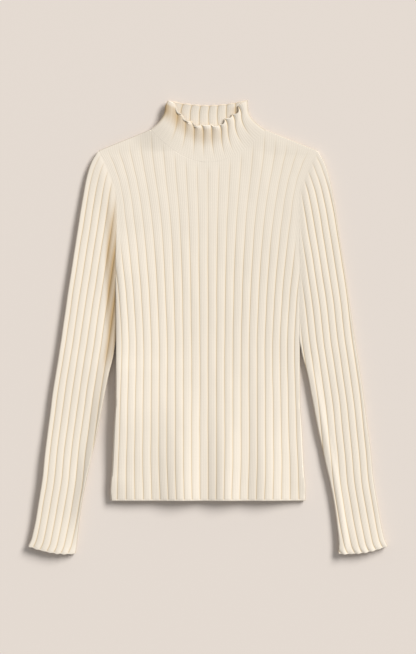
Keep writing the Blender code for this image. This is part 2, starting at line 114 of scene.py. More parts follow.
lamp_data = bpy.data.lights.new("low_soft_lamp", "AREA")
lamp_data.shape = "ELLIPSE"
lamp_sizes = [2 * LAMP_DISTANCE * math.tan(math.radians(spread / 2)) for spread in LAMP_SPREAD]
lamp_data.size, lamp_data.size_y = lamp_sizes
falling = math.sin(math.radians(LAMP_ELEVATION))  # how squarely the light meets level ground
lamp_data.energy = LAMP_GAIN * math.pi**2 * LAMP_DISTANCE**2 * LAMP_SHARE / falling
lamp = bpy.data.objects.new("low_soft_lamp", lamp_data)
lamp.matrix_world = (Matrix.Rotation(math.radians(LAMP_AZIMUTH), 4, "Z")
                     @ Matrix.Rotation(math.radians(90 - LAMP_ELEVATION), 4, "Y")
                     @ Matrix.Rotation(math.radians(LAMP_ROLL), 4, "Z")
                     @ Matrix.Translation((0, 0, LAMP_DISTANCE)))
bpy.context.collection.objects.link(lamp)

sky = bpy.data.worlds.new("even_sky")
sky.use_nodes = True
sky.node_tree.nodes["Background"].inputs["Color"].default_value = (1, 1, 1, 1)
sky.node_tree.nodes["Background"].inputs["Strength"].default_value = 1 - LAMP_SHARE
bpy.context.scene.world = sky
bpy.context.scene.view_settings.view_transform = "Standard"

camera_data = bpy.data.cameras.new("camera")
camera_data.sensor_width = SENSOR
camera_data.lens = SENSOR * CAMERA_HEIGHT / VIEW_HEIGHT
camera = bpy.data.objects.new("camera", camera_data)
camera.location = (0, VIEW_CENTRE_Y * MM, CAMERA_HEIGHT * MM)
bpy.context.collection.objects.link(camera)
bpy.context.scene.camera = camera


# -------------------------------- the back panel
# The back of the body, one rib-knitted panel from hem to shoulders. It lies on the ground, its
# ribs pressed flat, and turns up into the round folds of the side and shoulder seams.
WALL = 2.4  # mean thickness of the rib knit
RIB_DEPTH = 0.69  # from the bottom of a groove to the crest of a rib
ROUNDNESS = 3.0  # of a rib: the larger, the flatter its crown and the narrower the grooves
SWAY = 1.6  # widest that the cloth wanders to and fro where the knitting is uneven
SWAY_LENGTH = 70.0  # along the ribs, from one such place to the next
WALES = 5  # columns of stitches across one rib
COURSE = 2.2  # height of a row of stitches, coarser than real so that it shows
STITCH_DEPTH = 0.25  # as drawn by the bump
LEG_SHARE = 0.25  # how far the legs of a stitch and the fuzz stand out, as shares of that
FUZZ_SHARE = 0.8
FUZZ_SCALE = 900.0  # of the fuzz and of the blotches, in noise cells to a metre
BLOTCH_SCALE = 14.0
CREAM = "#EDE2D2"
GROOVE_SHADE_CREAM = "#DEC8A4"  # painted shade in the grooves: their yarn gets only light from the yarn beside it
LINE_SHARPNESS = 8.0  # the larger, the narrower that line of painted shade
HOLLOW_SHADE_CREAM = "#BFA072"  # painted shade where folds face each other and pass the light to and fro
LAMP_SIDE_SHADE_CREAM = "#C4B8A6"  # painted grey shade on edges turned to the lamp, which dulls their light
LAMP_SIDE_SHADE_FULL = 0.6  # how far a side leans towards the lamp where that painted shade is full
SEAM = 0.3  # gap between two linked edges
SEAM_FADE = 5.0  # from a linked seam to where the ribs have their full depth
BEAD = 1.0  # radius of the bead of thread along a free edge
BEAD_HOLLOW = (0.1, 2.4, 0.8)  # the hollow behind it: share of the thickness, place and width
SEAM_ROUND = 0.6  # radius of the rounding of the cloth into a seam
FOLD_HEIGHT = 6.4  # inside of the upper layer beside a fold
REST_HEIGHT = 4.6  # inside of the upper layer in the middle of the body
UNDER_LIFT = 0.3  # how far the lower layer is off the ground beside a seam that lies open
FOLD_RADIUS = 1.5  # how far a fold reaches past the flat part of the upper layer
UNDER_RADIUS = 6.0  # the same for the lower layer, which curls in further
CREASE = 1.5  # radius of the middle of the cloth over the top of a fold
# Places of points across a rib, from one groove to the next, and round a fold, in degrees.
RIB_STEPS = np.array([0.0, 0.03, 0.07, 0.13, 0.22, 0.35, 0.5, 0.65, 0.78, 0.87, 0.93, 0.97])
FOLD_STEPS = np.arange(0.0, 90.0, 10.0)
EDGE_STEPS = np.array([0.0, 0.12, 0.45, 0.9, 1.4, 2.0, 2.6, 3.2, 4.0, 5.5])  # rows beside a free edge
FIRST_ROW = 8.0  # from the hem to the first row past those
ROW_STEP = 4.6
YOKE_STEPS = np.sort(np.append(np.linspace(0, 1, 24), [0.985, 0.994, 0.998]))  # rows above YOKE_Y
ROUNDS = 12  # in which a value that depends on itself settles
HEM_Y = -278.3
UNDERARM_Y = 103.3
YOKE_Y = 212.0
NECK_HALF = 92.0
NECK_CORNER = 5.0  # to each side of NECK_HALF, where the neck edge turns into the shoulder fold
NECK_Y = 314.5
BACK_NECK_Y = 295.3
SHOULDER_SLOPE = 0.404
BODY_RIBS = 12  # on each half
HEM_PLAIN = 0.8  # from the hem to where its ribs begin
EDGE_FADE = 2.5  # from there, as at the cuff, to where they have their full depth
ARMHOLE_Y = 92.0  # from here up over ARMHOLE_FADE, the ribs run out beside the armhole
ARMHOLE_FADE = 26.0
ARMHOLE_PLAIN = 5.0  # width of the plain stretch there, and of that in which the ribs begin
ARMHOLE_RIB_FADE = 7.0
NECK_RIB_FADE = 22.0  # from the neck seam down to where the ribs have their full depth
SHOULDER_RIB_FADE = 34.0  # the same from the shoulder seam
SHOULDER_BLEND = 9.0  # past NECK_HALF, where the one takes over from the other
CHEST_EASE = 0.55  # how far the ribs are flattened where the chest stretches them
CHEST_Y = 60.0  # where that begins, and over what height it grows
CHEST_GROWTH = 150.0
FREE_SEAM = 20.0  # from a seam, and from a free edge, to where the cloth wanders as it likes
FREE_EDGE = 10.0


def named(columns, rows):
    """Rows as dicts, with the columns named. A row may leave out the last ones."""
    return [dict(zip(columns.split(), row)) for row in rows]


# Half the width of the body.
BODY = named("y half", [
    (HEM_Y, 155.5),
    (-261.5, 156.0),
    (-229.5, 153.6),
    (-165.5, 150.4),
    (-117.5, 147.2),
    (-21.5, 146.7),
    (42.5, 147.2),
    (UNDERARM_Y, 148.0),
    (154.5, 146.7),
    (186.5, 146.4),
    (YOKE_Y, 147.3),
    (228.1, 150.6),
    (242.5, 156.6),
    (264.9, 166.4),
    (281.0, 174.6),
])
# How flat the seams between body and sleeve lie open. At 0 there is a fold on both sides.
SEAM_OPEN = named("y left right", [
    (HEM_Y, 0.0, 0.0),
    (-45.0, 0.0, 0.0),
    (10.0, 0.0, 0.85),
    (80.0, 0.0, 0.95),
    (UNDERARM_Y, 0.0, 1.0),
    (128.0, 0.6, 1.0),
    (160.0, 1.0, 1.0),
    (YOKE_Y, 1.0, 1.0),
])
# Inside height of the body and the sleeve at the seam, and of the sleeve at its outer fold. How far the
# body rolls over the sleeve, how far the sleeve sags beside it, and how deep the shade between them is.
LEFT_SIDE = named("y body sleeve outer roll sag shade", [
    (-363.0, 6.6, 4.2, 8.0, 0.0, 1.2, 0.0),
    (-240.0, 7.2, 11.2, 11.0, 0.6, 1.2, 0.0),
    (-194.0, 10.4, 11.2, 10.4, 0.8, 1.2, 0.0),
    (-125.0, 15.0, 10.4, 9.2, 1.0, 1.4, 0.1),
    (-75.0, 14.6, 8.2, 9.0, 1.3, 2.0, 0.15),
    (-45.0, 12.0, 7.8, 8.8, 1.6, 3.6, 0.65),
    (10.0, 9.0, 7.0, 8.6, 2.0, 4.6, 1.0),
    (80.0, 8.4, 7.0, 8.5, 2.0, 5.0, 1.0),
    (UNDERARM_Y, 7.8, 6.8, 8.5, 1.6, 5.0, 1.0),
    (128.0, 6.8, 6.0, 8.4, 0.8, 4.2, 0.9),
    (160.0, 6.0, 6.0, 8.2, 0.0, 3.4, 0.7),
    (YOKE_Y, 6.0, 6.0, 7.2, 0.0, 1.8, 0.1),
    (266.0, 6.4, 6.4, 6.4, 0.0, 1.2, 0.0),
])
# The same heights at the right seam.
RIGHT_SIDE = named("y body sleeve", [
    (-363.0, 4.3, 8.4),
    (-240.0, 4.3, 7.0),
    (-125.0, 4.3, 7.0),
    (-75.0, 4.4, 6.8),
    (-45.0, 4.8, 6.0),
    (10.0, 5.4, 5.7),
    (80.0, 5.6, 5.9),
    (UNDERARM_Y, 5.8, 6.1),
    (128.0, 6.1, 6.4),
    (160.0, 6.3, 6.4),
    (YOKE_Y, 6.3, 6.4),
    (266.0, 6.4, 6.4),
])
NECK_REACH = 45.0  # from the shoulder fold or the collar's side to where the front has sunk to rest
SHOULDER_LINE = [(174.6, 281.1), (NECK_HALF, NECK_Y)]
COLLAR_SIDE = [(NECK_HALF, NECK_Y), (71.8, 338.6), (63.2, 362.8)]
RIGHT_SHARE = 0.2  # how much of that height the front has beside the right side of the collar
SWELL = 5.5  # how much higher still it is at the left side of the collar
SWELL_CENTRE = (-72.0, 332.0)
SWELL_REACH = 62.0
# Pitch of the ribs, and how much the outer ones are squeezed together.
RIBS = named("y pitch squeeze", [
    (HEM_Y, 12.6, -0.0004),
    (-197.5, 13.2, 0.00015),
    (-117.5, 13.2, 0.0003),
    (-37.5, 13.25, 0.00045),
    (42.5, 13.7, 0.0005),
    (106.5, 14.25, 0.0004),
    (170.5, 15.2, 0.00045),
    (202.5, 16.1, 0.0008),
    (231.3, 17.0, 0.00095),
    (256.9, 17.6, 0.0007),
    (282.5, 17.9, 0.0001),
    (NECK_Y, 18.2, 0.0),
])


def smoothstep(t):
    t = np.clip(t, 0.0, 1.0)
    return t * t * (3 - 2 * t)


def mix(a, b, share):
    return a + (b - a) * share


def curve(table, along, column, at):
    """A column of a table at the places given, on a smooth line that never overshoots the table."""
    xs = np.array([row[along] for row in table])
    ys = np.array([row[column] for row in table])
    at = np.clip(at, xs[0], xs[-1])
    secants = np.diff(ys) / np.diff(xs)
    below, above = np.r_[secants[:1], secants], np.r_[secants, secants[-1:]]
    rising = below * above > 0
    slopes = np.where(rising, 2 * below * above / np.where(rising, below + above, 1), 0)
    i = np.clip(np.searchsorted(xs, at, side="right") - 1, 0, len(xs) - 2)
    span = xs[i + 1] - xs[i]
    t = (at - xs[i]) / span
    return (ys[i] * (2 * t**3 - 3 * t**2 + 1) + ys[i + 1] * (3 * t**2 - 2 * t**3)
            + slopes[i] * span * (t**3 - 2 * t**2 + t) + slopes[i + 1] * span * (t**3 - t**2))


def edge_thickness(distance):
    """Share of the cloth's thickness beside a free edge: a bead of thread, then a faint hollow."""
    bead = np.sqrt(1 - (1 - np.clip(distance / BEAD, 0, 1)) ** 2)
    depth, place, width = BEAD_HOLLOW
    return bead * (1 - depth * np.exp(-((distance - place) / width) ** 2))


def seam_thickness(distance):
    """Share of the cloth's thickness beside a seam, where the edge rounds down into the seam."""
    return np.sqrt(1 - (1 - np.clip(distance / SEAM_ROUND, 0, 1)) ** 2)


def rib_knit_tree():
    """Raise ribs on a cloth along its own outward direction, and make the knitting a little uneven."""
    tree = bpy.data.node_groups.new("rib_knit", "GeometryNodeTree")
    sockets = tree.interface
    sockets.new_socket("Geometry", in_out="INPUT", socket_type="NodeSocketGeometry")
    for title in ("Rib Depth", "Sway", "Sway Length", "Seed"):
        sockets.new_socket(title, in_out="INPUT", socket_type="NodeSocketFloat")
    sockets.new_socket("Yarn", in_out="INPUT", socket_type="NodeSocketMaterial")
    sockets.new_socket("Geometry", in_out="OUTPUT", socket_type="NodeSocketGeometry")
    given = add_node(tree, "NodeGroupInput").outputs
    wale, relief, free = [
        add_node(tree, "GeometryNodeInputNamedAttribute", {"Name": name}, data_type="FLOAT")
        for name in ("wale", "relief", "free")]
    outward = add_node(tree, "GeometryNodeInputNamedAttribute", {"Name": "outward"},
                       data_type="FLOAT_VECTOR")

    # A wale of 0 is the middle of a groove, and one half is the crest of a rib.
    phase = add_node(tree, "ShaderNodeMath", {0: wale}, operation="FRACT")
    swing = add_node(tree, "ShaderNodeMath", {0: phase, 1: 2.0, 2: -1.0}, operation="MULTIPLY_ADD")
    off_crest = add_node(tree, "ShaderNodeMath", {0: swing}, operation="ABSOLUTE")
    side = add_node(tree, "ShaderNodeMath", {0: off_crest, 1: ROUNDNESS}, operation="POWER")
    crown = add_node(tree, "ShaderNodeMath", {0: 0.5, 1: side}, operation="SUBTRACT")
    raised = add_node(tree, "ShaderNodeMath", {0: crown, 1: relief}, operation="MULTIPLY")
    height = add_node(tree, "ShaderNodeMath", {0: raised, 1: given["Rib Depth"]}, operation="MULTIPLY")
    lift = add_node(tree, "ShaderNodeVectorMath", {0: outward, "Scale": height}, operation="SCALE")

    # The noise changes three times faster across the ribs, and moves the cloth sideways and up.
    place = add_node(tree, "GeometryNodeInputPosition")
    narrowed = add_node(tree, "ShaderNodeVectorMath", {0: place, 1: (3.0, 1.0, 0.0)}, operation="MULTIPLY")
    cells = add_node(tree, "ShaderNodeMath", {0: 1.0, 1: given["Sway Length"]}, operation="DIVIDE")
    noise = add_node(tree, "ShaderNodeTexNoise", {
        "Vector": narrowed, "W": given["Seed"], "Scale": cells, "Detail": 1.0},
        noise_dimensions="4D").outputs["Color"]
    centred = add_node(tree, "ShaderNodeVectorMath", {0: noise, 1: (0.5, 0.5, 0.5)}, operation="SUBTRACT")
    drift = add_node(tree, "ShaderNodeVectorMath", {0: centred, 1: (1.0, 0.0, 0.6)}, operation="MULTIPLY")
    width = add_node(tree, "ShaderNodeMath", {0: given["Sway"], 1: free}, operation="MULTIPLY")
    sway = add_node(tree, "ShaderNodeVectorMath", {0: drift, "Scale": width}, operation="SCALE")
    offset = add_node(tree, "ShaderNodeVectorMath", {0: lift, 1: sway}, operation="ADD")
    moved = add_node(tree, "GeometryNodeSetPosition", {"Geometry": given["Geometry"], "Offset": offset})

    # Nothing sinks into the ground: only the height has a limit that the cloth can reach.
    place = add_node(tree, "GeometryNodeInputPosition")
    above = add_node(tree, "ShaderNodeVectorMath", {0: place, 1: (-10.0, -10.0, 0.0)}, operation="MAXIMUM")
    rested = add_node(tree, "GeometryNodeSetPosition", {"Geometry": moved, "Position": above})
    realized = add_node(tree, "GeometryNodeRealizeInstances", {"Geometry": rested})
    coloured = add_node(tree, "GeometryNodeSetMaterial", {
        "Geometry": realized, "Material": given["Yarn"]})
    add_node(tree, "NodeGroupOutput", {"Geometry": coloured})
    return tree


def apply_tree(piece, tree, values):
    """Run a node tree on a piece with the named inputs, and leave the result as its plain mesh."""
    modifier = piece.modifiers.new(tree.name, "NODES")
    modifier.node_group = tree
    for item in tree.interface.items_tree:
        if item.in_out == "INPUT" and item.name in values:
            modifier[item.identifier] = values[item.name]
    piece.update_tag()
    depsgraph = bpy.context.evaluated_depsgraph_get()
    mesh = bpy.data.meshes.new_from_object(piece.evaluated_get(depsgraph))
    piece.modifiers.clear()
    piece.data = mesh
    mesh.name = piece.name
    mesh.shade_smooth()


def cream_rib_knit():
    """Fine cotton and wool rib knit: matt, a little fuzzy, with faint columns of stitches."""
    material, tree, output = new_material("cream_rib_knit")
    wale, course, relief, painted_shade, lamp_side_shade = [
        add_node(tree, "ShaderNodeAttribute", attribute_name=name).outputs["Fac"]
        for name in ("wale", "course", "relief", "painted_shade", "lamp_side_shade")]
    place = add_node(tree, "ShaderNodeTexCoord").outputs["Object"]

    # Stitches: each column is a low ridge, and its two legs slant down from the middle.
    stitch = add_node(tree, "ShaderNodeMath", {0: wale, 1: float(WALES)}, operation="MULTIPLY")
    stitch = add_node(tree, "ShaderNodeMath", {0: stitch}, operation="FRACT")
    stitch = add_node(tree, "ShaderNodeMath", {0: stitch, 1: 0.5}, operation="SUBTRACT")
    off_centre = add_node(tree, "ShaderNodeMath", {0: stitch}, operation="ABSOLUTE")
    ridge = add_node(tree, "ShaderNodeMath", {0: off_centre, 1: 2.0}, operation="MULTIPLY")
    ridge = add_node(tree, "ShaderNodeMath", {0: ridge, 1: 2.0}, operation="POWER")
    column = add_node(tree, "ShaderNodeMath", {0: 1.0, 1: ridge}, operation="SUBTRACT")
    leg = add_node(tree, "ShaderNodeMath", {0: course, 1: COURSE}, operation="DIVIDE")
    leg = add_node(tree, "ShaderNodeMath", {0: leg, 1: off_centre}, operation="ADD")
    leg = add_node(tree, "ShaderNodeMath", {0: leg, 1: 2 * math.pi}, operation="MULTIPLY")
    leg = add_node(tree, "ShaderNodeMath", {0: leg}, operation="SINE")
    yarn = add_node(tree, "ShaderNodeMath", {0: leg, 1: LEG_SHARE, 2: column}, operation="MULTIPLY_ADD")
    fuzz = add_node(tree, "ShaderNodeTexNoise", {"Vector": place, "Scale": FUZZ_SCALE, "Detail": 3.0})
    surface = add_node(tree, "ShaderNodeMath", {0: fuzz, 1: FUZZ_SHARE, 2: yarn}, operation="MULTIPLY_ADD")
    bump = add_node(tree, "ShaderNodeBump", {
        "Height": surface, "Strength": 0.35, "Distance": STITCH_DEPTH * MM})

    # Colour: painted shade as a warmer line in each groove, as warmer hollows and as greyer edges that face
    # the lamp; and faint blotches, which change the tone by 5 percent, as the columns of stitches do by 2.
    phase = add_node(tree, "ShaderNodeMath", {0: wale}, operation="FRACT")
    swing = add_node(tree, "ShaderNodeMath", {0: phase, 1: 2.0, 2: -1.0}, operation="MULTIPLY_ADD")
    off_crest = add_node(tree, "ShaderNodeMath", {0: swing}, operation="ABSOLUTE")
    groove_shade = add_node(tree, "ShaderNodeMath", {0: off_crest, 1: LINE_SHARPNESS}, operation="POWER")
    groove_shade = add_node(tree, "ShaderNodeMath", {0: groove_shade, 1: relief}, operation="MULTIPLY", use_clamp=True)
    painted_hollow_shade = add_node(tree, "ShaderNodeMath", {0: off_crest, 1: 0.5, 2: 0.5}, operation="MULTIPLY_ADD")
    painted_hollow_shade = add_node(tree, "ShaderNodeMath", {0: painted_shade, 1: painted_hollow_shade}, operation="MULTIPLY")
    colour = linear(CREAM)
    for tint, share in ((GROOVE_SHADE_CREAM, groove_shade), (HOLLOW_SHADE_CREAM, painted_hollow_shade), (LAMP_SIDE_SHADE_CREAM, lamp_side_shade)):
        colour = add_node(tree, "ShaderNodeMix", {0: share, 6: colour, 7: linear(tint)},
                          data_type="RGBA").outputs[2]
    blotch = add_node(tree, "ShaderNodeTexNoise", {"Vector": place, "Scale": BLOTCH_SCALE, "Detail": 2.0})
    blotch = add_node(tree, "ShaderNodeMath", {0: blotch, 1: 0.05, 2: 0.975}, operation="MULTIPLY_ADD")
    stripe = add_node(tree, "ShaderNodeMath", {0: column, 1: 0.02, 2: 0.985}, operation="MULTIPLY_ADD")
    tone = add_node(tree, "ShaderNodeMath", {0: blotch, 1: stripe}, operation="MULTIPLY")
    toned = add_node(tree, "ShaderNodeVectorMath", {0: colour, "Scale": tone}, operation="SCALE")
    shader = add_node(tree, "ShaderNodeBsdfPrincipled", {
        "Base Color": toned, "Normal": bump, "Roughness": 0.9,
        "Specular IOR Level": 0.2, "Sheen Weight": 0.05, "Sheen Roughness": 0.5})
    tree.links.new(shader.outputs[0], output.inputs[0])
    return material


KNIT = rib_knit_tree()
YARN = cream_rib_knit()


def cloth(name, middle, normal, thickness, closed, seed, skins, course, free, painted_shade):
    """A closed shell of cloth round a middle surface, with its ribs raised.

    The arrays run over rows and columns. skins holds the rib number and the relief for the outer
    and the inner skin. Where two rows are both closed, the last column meets the first. course is the
    length along the ribs, free how much the cloth may wander, and the last array how deep the warm
    shade painted into a hollow is. Sides that face the lamp get a painted grey shade.
    """
    count_r, count_c = thickness.shape
    half_wall = normal * thickness[..., None] / 2
    points = np.concatenate([(middle + half_wall).reshape(-1, 3), (middle - half_wall).reshape(-1, 3)])
    index = np.arange(count_r * count_c).reshape(count_r, count_c)
    inside = index + count_r * count_c
    a, b, c, d = index[:-1, :-1], index[:-1, 1:], index[1:, 1:], index[1:, :-1]
    faces = [np.stack([a, b, c, d], -1).reshape(-1, 4)]
    faces.append(np.stack([a, d, c, b], -1).reshape(-1, 4) + count_r * count_c)
    for r in range(count_r - 1):
        if not (closed[r] and closed[r + 1]):
            faces.append(np.array([[index[r, 0], index[r + 1, 0], inside[r + 1, 0], inside[r, 0]],
                                   [index[r, -1], inside[r, -1], inside[r + 1, -1], index[r + 1, -1]]]))
    mesh = bpy.data.meshes.new(name)
    mesh.from_pydata((points * MM).tolist(), [], np.concatenate(faces).tolist())

    def store(title, outer, inner, kind="FLOAT", field="value"):
        layer = mesh.attributes.new(title, kind, "POINT")
        layer.data.foreach_set(field, np.stack([outer, inner]).astype(np.float32).ravel())

    (outer_number, outer_relief), (inner_number, inner_relief) = skins
    # Painted shade: the more a side leans towards the lamp, the greyer its colour.
    azimuth = math.radians(LAMP_AZIMUTH)
    to_lamp = normal @ np.array([math.cos(azimuth), math.sin(azimuth), 0]) / LAMP_SIDE_SHADE_FULL
    store("wale", outer_number, inner_number)
    store("relief", outer_relief, inner_relief)
    store("course", course, course)
    store("free", free, free)
    # painted warm shade of the hollows
    store("painted_shade", painted_shade, painted_shade)
    store("outward", normal, -normal, "FLOAT_VECTOR", "vector")
    store("lamp_side_shade", smoothstep(to_lamp), smoothstep(-to_lamp))
    bm = bmesh.new()
    bm.from_mesh(mesh)
    bmesh.ops.remove_doubles(bm, verts=bm.verts, dist=2e-6)
    bmesh.ops.recalc_face_normals(bm, faces=bm.faces)
    bm.to_mesh(mesh)
    bm.free()
    piece = bpy.data.objects.new(name, mesh)
    bpy.context.collection.objects.link(piece)
    apply_tree(piece, KNIT, {"Rib Depth": RIB_DEPTH * MM, "Sway": SWAY * MM,
                             "Sway Length": SWAY_LENGTH * MM, "Seed": seed, "Yarn": YARN})
    return piece


def neck_line(x, middle_y, power):
    """Upper edge of a body panel: the neck seam, lowest in the middle, then the shoulder."""
    x = np.abs(x)
    neck = mix(middle_y, NECK_Y, (np.minimum(x, NECK_HALF) / NECK_HALF) ** power)
    return np.where(x <= NECK_HALF, neck, NECK_Y - SHOULDER_SLOPE * (x - NECK_HALF))


def back_top(x):
    return neck_line(x, BACK_NECK_Y, 2)


def distance_to_line(x, y, corners):
    """Distance from points, mirrored to the right half, to a line of straight stretches."""
    point = np.stack([np.abs(x), y], -1)
    nearest = np.full(x.shape, np.inf)
    for start, end in zip(corners, corners[1:]):
        start, along = np.array(start), np.array(end) - np.array(start)
        share = np.clip((point - start) @ along / (along @ along), 0, 1)
        nearest = np.minimum(nearest, np.linalg.norm(point - start - share[..., None] * along, axis=-1))
    return nearest


def neck_rise(x, y):
    """Extra height of the upper layer beside the shoulder folds and beside the sides of the collar."""
    shoulder, side = [1 - smoothstep((distance_to_line(x, y, corners) - FOLD_RADIUS) / NECK_REACH)
                      for corners in (SHOULDER_LINE, COLLAR_SIDE)]
    side = side * np.where(x > 0, RIGHT_SHARE, 1)
    swell = smoothstep(1 - np.hypot(x - SWELL_CENTRE[0], y - SWELL_CENTRE[1]) / SWELL_REACH)
    return (FOLD_HEIGHT - REST_HEIGHT) * np.maximum(shoulder, side) + SWELL * swell


def panel_grid(top, fold_radius):
    """Plan of a body panel: x, y, half width and its flat part, and the angles round its folds.

    Rows have an angle round the shoulder folds and columns round the side folds: 90 degrees on the
    flat part, and 0 on the outline.
    """
    ys = np.concatenate([HEM_Y + EDGE_STEPS, np.arange(HEM_Y + FIRST_ROW, YOKE_Y, ROW_STEP)])
    angles = FOLD_STEPS[::-1]
    flat_rows = len(ys) + len(YOKE_STEPS)
    base = np.concatenate([ys, np.full(len(YOKE_STEPS) + len(angles), YOKE_Y)])
    share = np.concatenate([np.zeros(len(ys)), YOKE_STEPS, np.ones(len(angles))])
    reach = np.concatenate([np.zeros(flat_rows), fold_radius * np.cos(np.radians(angles))])
    shoulder_angle = np.concatenate([np.full(flat_rows, 90.0), angles])

    def height(x):
        rise = top(x) - fold_radius - YOKE_Y
        return base[:, None] + share[:, None] * rise + reach[:, None]

    half_width = np.full((len(base), 1), BODY[-1]["half"])
    for _ in range(ROUNDS):
        half_width = curve(BODY, "y", "half", height(half_width))
    limit = half_width - fold_radius
    numbers = (np.arange(-BODY_RIBS, BODY_RIBS)[:, None] + RIB_STEPS).ravel()
    numbers = np.append(numbers, BODY_RIBS)[None, :]
    x = numbers * RIBS[0]["pitch"] * np.ones_like(half_width)
    for _ in range(ROUNDS):
        y = height(x)
        x = curve(RIBS, "y", "pitch", y) * (numbers - curve(RIBS, "y", "squeeze", y) * numbers**3)
        x = np.clip(x, -limit, limit)
    side = fold_radius * np.cos(np.radians(FOLD_STEPS))
    x = np.concatenate([-limit - side, x, limit + side[::-1]], axis=1)
    side_angle = np.concatenate([FOLD_STEPS, np.full(numbers.size, 90.0), FOLD_STEPS[::-1]])
    return x, height(x), half_width, limit, shoulder_angle[:, None], side_angle[None, :]


def rib_number(x, y):
    """Which rib a place of the body is on, counted from the middle groove."""
    pitch, squeeze = curve(RIBS, "y", "pitch", y), curve(RIBS, "y", "squeeze", y)
    number = x / pitch
    for _ in range(ROUNDS):
        number = x / pitch + squeeze * number**3
    return number


def panel_ribs(x, y, opened, to_seam, to_top):
    """How deep the ribs of a body panel are: 1 is full depth, and 0 is plain cloth beside a seam."""
    depth = 1 - opened * (1 - smoothstep(to_seam / SEAM_FADE))
    near_seam = 1 - smoothstep((to_seam - ARMHOLE_PLAIN) / ARMHOLE_RIB_FADE)
    depth = depth * (1 - smoothstep((y - ARMHOLE_Y) / ARMHOLE_FADE) * near_seam)
    beside_neck = 1 - smoothstep((np.abs(x) - NECK_HALF) / SHOULDER_BLEND)
    depth = depth * mix(1, smoothstep(to_top / NECK_RIB_FADE), beside_neck)
    depth = depth * mix(1, smoothstep(to_top / SHOULDER_RIB_FADE), 1 - beside_neck)
    depth = depth * smoothstep((y - HEM_Y - HEM_PLAIN) / EDGE_FADE)
    return depth * (1 - CHEST_EASE * smoothstep((y - CHEST_Y) / CHEST_GROWTH))


def body_panel(name, top, layer, seed, lift):
    """The front (layer 1) or the back (layer -1). lift gives the extra height of the front's cloth."""
    fold_radius = FOLD_RADIUS if layer > 0 else UNDER_RADIUS
    x, y, half_width, limit, shoulder_angle, side_angle = panel_grid(top, fold_radius)
    edge_y = y[:, :1]
    opened = np.where(x < 0, curve(SEAM_OPEN, "y", "left", edge_y), curve(SEAM_OPEN, "y", "right", edge_y))
    edge_height = np.where(x < 0, curve(LEFT_SIDE, "y", "body", edge_y),
                           curve(RIGHT_SIDE, "y", "body", edge_y))
    shoulder_angle, side_angle = np.broadcast_arrays(shoulder_angle, side_angle)
    in_side, in_shoulder = side_angle < 90, shoulder_angle < 90
    to_seam = np.maximum(half_width - np.abs(x), 0)
    to_top = np.maximum(top(x) - y, 0)
    at_neck = 1 - smoothstep((np.abs(x) - NECK_HALF + NECK_CORNER) / (2 * NECK_CORNER))

    if layer > 0:
        middle_z = REST_HEIGHT + lift(x, y, limit, edge_height) + WALL / 2
    else:
        middle_z = np.full(x.shape, WALL / 2 + RIB_DEPTH / 2)
    normal = np.zeros(x.shape + (3,))
    normal[..., 2] = layer

    def round_fold(angle, height, outward_x, outward_y, open_share, where):
        """Bend the cloth round a fold: middle height and outward normal at an angle."""
        cosine, sine = np.cos(np.radians(angle)), np.sin(np.radians(angle))
        centre = height + WALL / 2 - CREASE
        radius = np.full(x.shape, CREASE) if layer > 0 else centre - WALL / 2
        folded_z = centre + layer * (radius * sine + SEAM / 2 * cosine)
        flat_z = height + WALL / 2 if layer > 0 else WALL / 2 + UNDER_LIFT
        reach = fold_radius - WALL / 2
        out = np.stack([outward_x * cosine / reach, outward_y * cosine / reach, layer * sine / radius], -1)
        out /= np.linalg.norm(out, axis=-1, keepdims=True)
        out = mix(out, np.array([0, 0, layer]), open_share[..., None])
        middle_z[where] = mix(folded_z, flat_z, open_share)[where]
        normal[where] = out[where]

    round_fold(side_angle, edge_height, np.sign(x), 0, opened, in_side)
    round_fold(shoulder_angle, REST_HEIGHT + neck_rise(x, y), 0, 1, at_neck, in_shoulder)

    thickness = WALL * edge_thickness(y - HEM_Y)
    thickness = thickness * mix(1, seam_thickness(to_seam), opened)
    thickness = thickness * mix(1, seam_thickness(to_top), at_neck)
    # The middle line keeps clear of the outermost line by half of the wall, which the normal adds back.
    plan = np.stack([x, y, middle_z], -1)
    side_tuck = thickness / 2 * np.cos(np.radians(side_angle)) * (1 - opened)
    top_tuck = WALL / 2 * np.cos(np.radians(shoulder_angle)) * (1 - at_neck)
    plan[..., 0] -= np.where(in_side, np.sign(x) * side_tuck, 0)
    plan[..., 1] -= np.where(in_shoulder, top_tuck, 0)
    arc = np.radians(90 - side_angle) * fold_radius
    number = rib_number(np.where(in_side, np.sign(x) * (limit + arc), x), y)
    free = smoothstep(to_seam / FREE_SEAM) * smoothstep(to_top / FREE_SEAM)
    free = free * smoothstep((y - HEM_Y) / FREE_EDGE)
    skins = [(number, panel_ribs(x, y, opened, to_seam, to_top)), (number, np.zeros(x.shape))]
    closed = np.zeros(len(x), dtype=bool)
    return cloth(name, plan, normal, thickness, closed, seed, skins, y, free, np.zeros(x.shape))


back = body_panel("back_panel", back_top, -1, 1.0, None)
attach(back, "root")
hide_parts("back")


# -------------------------------- the front panel
# The front of the body, ribbed like the back and lying on it. It bulges at the side seams, sinks to
# rest in the middle, and its hem stands off the back in three low waves.
FRONT_NECK_Y = 263.3
HEM_WAVES = named("x width lift", [
    (-43.0, 46.0, 5.6),
    (28.0, 44.0, 6.0),
    (90.0, 44.0, 4.4),
])
HEM_LIFT = 3.8  # how far the hem stands off between the waves
HEM_LIFT_LENGTH = 250.0  # from the hem up to where that and the waves have died out
SIDE_POWER = (1.7, 3.0)  # left and right: the larger, the closer to the seam the front starts to rise
ROLL_WIDTH = 10.0  # from the left seam to the top of the roll of the body over the sleeve
CORNER_DROP = 2.4  # how much lower the front lies at both ends of the hem
CORNER_REACH = (40.0, 38.0)  # across and along


def front_top(x):
    return neck_line(x, FRONT_NECK_Y, 1.9)


